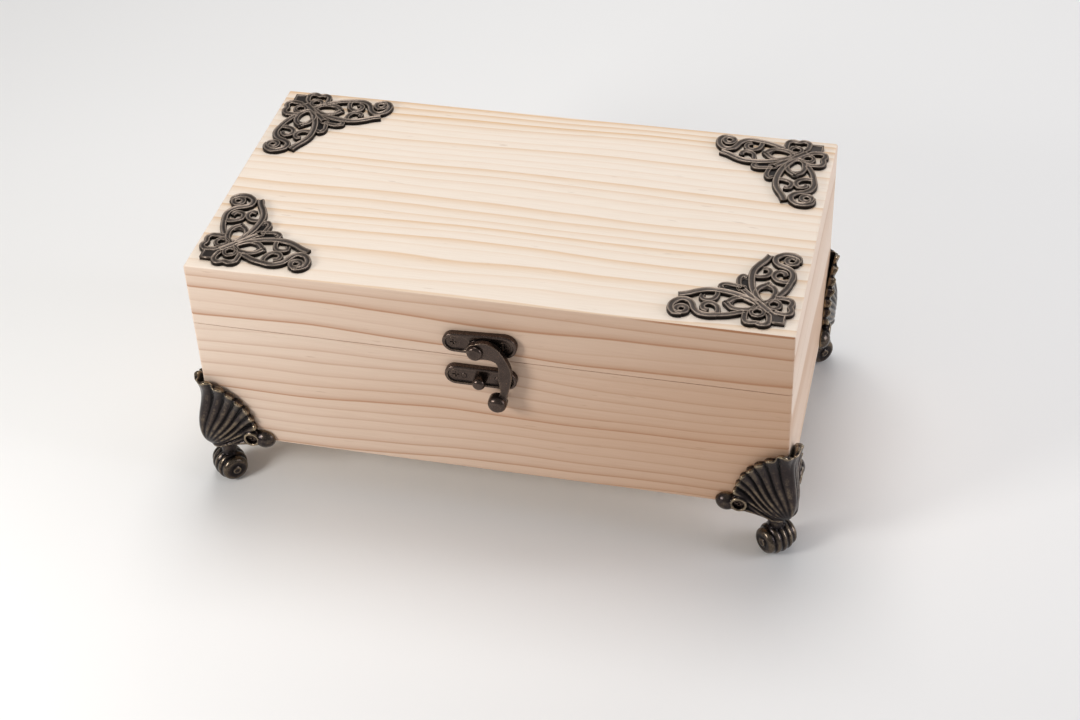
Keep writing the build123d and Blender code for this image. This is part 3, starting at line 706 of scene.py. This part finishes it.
def plate_mesh(points, height, rim, sunk):
    """Mesh of a flat plate with a raised rim; sunk is the depth inside the rim."""
    form = bmesh.new()
    floor_face = form.faces.new([form.verts.new((x, y, 0)) for x, y in points])
    raised = bmesh.ops.extrude_face_region(form, geom=[floor_face])["geom"]
    lifted = [v for v in raised if isinstance(v, bmesh.types.BMVert)]
    bmesh.ops.translate(form, verts=lifted, vec=(0, 0, height))
    bmesh.ops.recalc_face_normals(form, faces=form.faces)
    top = [f for f in form.faces if f.normal.z > 0.9 and f.calc_center_median().z > height / 2]
    bmesh.ops.inset_region(form, faces=top, thickness=rim, depth=0, use_even_offset=True)
    bmesh.ops.inset_region(form, faces=top, thickness=rim / 2, depth=-sunk, use_even_offset=True)
    mesh = bpy.data.meshes.new("plate")
    form.to_mesh(mesh)
    form.free()
    return mesh


print("rings and plates ready")

# %% One half and its mirror image
form = bmesh.new()
for points, width in strand_lines:
    form.from_mesh(strand_mesh(points, width))
form.from_mesh(ring_mesh(centre=(39.2, 5.6), radius=1.9, width=2.2))
form.from_mesh(ring_mesh(centre=(13.4, 8.4), radius=2.17, width=1.65))
leaf = [(21.4, 13.8), (22.8, 14.4), (24.2, 14.0), (25.3, 13.1), (26.1, 11.9), (25.4, 10.8)]
leaf += [(24.2, 9.9), (22.8, 9.5), (21.4, 10.2), (22.2, 11.2), (22.4, 12.2), (22.1, 13.2)]
form.from_mesh(plate_mesh(leaf, height=1.3, rim=0.3, sunk=0.2))
other_half = bmesh.ops.duplicate(form, geom=form.verts[:] + form.edges[:] + form.faces[:])["geom"]
other_verts = [v for v in other_half if isinstance(v, bmesh.types.BMVert)]
swap_x_and_y = Matrix(((0, 1, 0, 0), (1, 0, 0, 0), (0, 0, 1, 0), (0, 0, 0, 1)))
bmesh.ops.transform(form, matrix=swap_x_and_y, verts=other_verts)
# The mirror image is inside out until its faces are turned
bmesh.ops.reverse_faces(form, faces=[f for f in other_half if isinstance(f, bmesh.types.BMFace)])
print("faces in both halves:", len(form.faces))

# %% What lies on the diagonal
rib = [(20.0, 20.0), (16.5, 16.5), (13.0, 13.0), (9.0, 9.0)]
form.from_mesh(strand_mesh(rib, 2.6))
form.from_mesh(ring_mesh(centre=(20.6, 20.6), radius=1.45, width=0.9))
tip = [(3.5, 3.5), (8.6, 3.5), (8.8, 7.2), (10.4, 8.9), (8.9, 10.4), (7.2, 8.8), (3.5, 8.6)]
form.from_mesh(plate_mesh(tip, height=1.5, rim=0.55, sunk=0.35))
knot_plate = [(14.8, 14.8), (22, 17.4), (26.6, 18.8), (27.0, 20.6), (25.8, 21.6), (22.4, 22.4)]
knot_plate += [(21.6, 25.8), (20.6, 27.0), (18.8, 26.6), (17.4, 22)]
form.from_mesh(plate_mesh(knot_plate, height=1.25, rim=0.5, sunk=0.3))
corner_mesh = bpy.data.meshes.new("filigree corner")
form.to_mesh(corner_mesh)
form.free()
print("faces in a corner:", len(corner_mesh.polygons))

# %% [markdown]
# ## Four corners on the lid
# The four castings are alike, so one mesh is copied and turned by quarters.
# The humps are rubbed and the grooves stay black, so here the wear can be
# read from the height alone. Each copy goes on top of the lid, into the outer
# corner of the room that its solid takes up.

# %% Wear of the filigree
# Shares of the thickness: below the first nothing is worn, at the second all is bare metal in the palest
# tone, which is partly a painted highlight
groove_height = 0.55
polished_and_painted_highlight_height = 1.02
places = np.zeros(len(corner_mesh.vertices) * 3)
corner_mesh.vertices.foreach_get("co", places)
share = places.reshape(-1, 3)[:, 2] / thickness
wear = np.clip((share - groove_height) / (polished_and_painted_highlight_height - groove_height), 0, 1)
layer = corner_mesh.attributes.new("wear", "FLOAT", "POINT")
layer.data.foreach_set("value", wear.astype(np.float32))
for polygon in corner_mesh.polygons:
    # Strands and rims have four-sided faces and look round; flat tops and strand ends don't
    polygon.use_smooth = len(polygon.vertices) == 4
corner_mesh.materials.append(bronze_ornament)
print("vertices worn bright:", int((wear > 0.8).sum()))

# %% Filigree pieces on the lid
_, lid_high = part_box("lid_top_panel")
quarter_turns = {"front_left": 0, "front_right": 90, "back_right": 180, "back_left": 270}
for corner, degrees in quarter_turns.items():
    spin = Matrix.Rotation(math.radians(degrees), 4, "Z")
    low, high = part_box("ornament_" + corner)
    middle = (low + high) / 2
    half_size = (high - low) / 2
    outward = spin @ Vector((-1, -1, 0))
    on_lid = Vector((middle.x + outward.x * half_size.x, middle.y + outward.y * half_size.y, lid_high.z))
    own_corner = spin @ Vector((near_edge, near_edge, 0))
    mesh = corner_mesh.copy()
    mesh.transform(Matrix.Translation(on_lid - own_corner * MM) @ spin @ Matrix.Scale(MM, 4))
    piece = bpy.data.objects.new("filigree_" + corner, mesh)
    bpy.context.scene.collection.objects.link(piece)
    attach(piece, "lid")
    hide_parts("ornament_" + corner)
print("filigree corners:", len(quarter_turns))

# %% [markdown]
# ## Table
# The box stands on a plain pale table. One large face is enough, because
# only the box's soft shadow should be seen on it. It is matt, so that it
# gives no reflections to look at beside the metal.

# %% Table
table_reach = 3.0
floor_mesh = bpy.data.meshes.new("floor")
form = bmesh.new()
bmesh.ops.create_grid(form, x_segments=1, y_segments=1, size=table_reach)
form.to_mesh(floor_mesh)
form.free()
floor = bpy.data.objects.new("floor", floor_mesh)
bpy.context.scene.collection.objects.link(floor)
floor_material, tree = new_material("pale table")
give_surface(tree, {"Base Color": linear("efeeec"), "Roughness": 0.8})
floor.data.materials.append(floor_material)
print("table:", 2 * table_reach, "m wide")

# %% [markdown]
# ## Soft light
# Bare wood shows its colour best in large, soft lights. One hangs overhead
# and a little behind, so that the lid is the brightest face. A smaller key
# from the front left draws the ribs of the feet, and two more lamps keep the
# right side and the back from going dark. A pale sky fills the shadows and
# gives the dark metal something to reflect.


# %% Lamps
def softbox(name, place, target, size, power, colour):
    """Area lamp at a place, facing a target."""
    lamp = bpy.data.lights.new(name, "AREA")
    lamp.shape = "RECTANGLE"
    lamp.size, lamp.size_y = size
    lamp.energy = power
    lamp.color = linear(colour)[:3]
    lamp_object = bpy.data.objects.new(name, lamp)
    lamp_object.location = place
    facing = Vector(target) - Vector(place)
    lamp_object.rotation_euler = facing.to_track_quat("-Z", "Y").to_euler()
    bpy.context.scene.collection.objects.link(lamp_object)
    print(name, "lamp,", power, "W")


box_middle = (0, 0, 0.05)
left_half = (-0.06, 0, 0.05)
softbox("overhead", (-0.1, 0.3, 0.95), box_middle, size=(0.45, 0.45), power=4.1, colour="ffffff")
softbox("key", (-0.36, -0.38, 0.3), left_half, size=(0.16, 0.16), power=1.45, colour="fffdfa")
softbox("right side", (1.0, 0.0, 0.4), box_middle, size=(0.5, 0.5), power=4.2, colour="f6f6ff")
softbox("back", (0.1, 1.1, 0.7), box_middle, size=(0.9, 0.5), power=2.0, colour="ffffff")

# %% Sky
sky_strength = 0.32
world = bpy.data.worlds.new("studio")
bpy.context.scene.world = world
world.use_nodes = True
background = world.node_tree.nodes["Background"]
background.inputs["Color"].default_value = linear("f4f4f6")
background.inputs["Strength"].default_value = sky_strength
print("sky strength:", sky_strength)

# %% [markdown]
# ## Camera
# The camera looks down on the box from the front right, about three quarters
# of a metre away. Its place, the point it is aimed at and its small tilt to
# one side were found from the directions of the box's own edges. The lens is
# a little long, so those edges run together only slowly.

# %% Camera
lens_length = 67.17
sensor_width = 36.0
camera_place = Vector((0.16057, -0.58821, 0.52990))
camera_aim = Vector((0.01161, -0.02412, 0.05))
camera_tilt = -2.558
camera_data = bpy.data.cameras.new("photo view")
camera_data.lens = lens_length
camera_data.sensor_width = sensor_width
camera = bpy.data.objects.new("photo view", camera_data)
facing = (camera_aim - camera_place).to_track_quat("-Z", "Y").to_matrix().to_4x4()
tilted = facing @ Matrix.Rotation(math.radians(camera_tilt), 4, "Z")
camera.matrix_world = Matrix.Translation(camera_place) @ tilted
bpy.context.scene.collection.objects.link(camera)
bpy.context.scene.camera = camera
bpy.context.scene.view_settings.view_transform = "Standard"
print("camera at", tuple(round(v, 4) for v in camera.location))
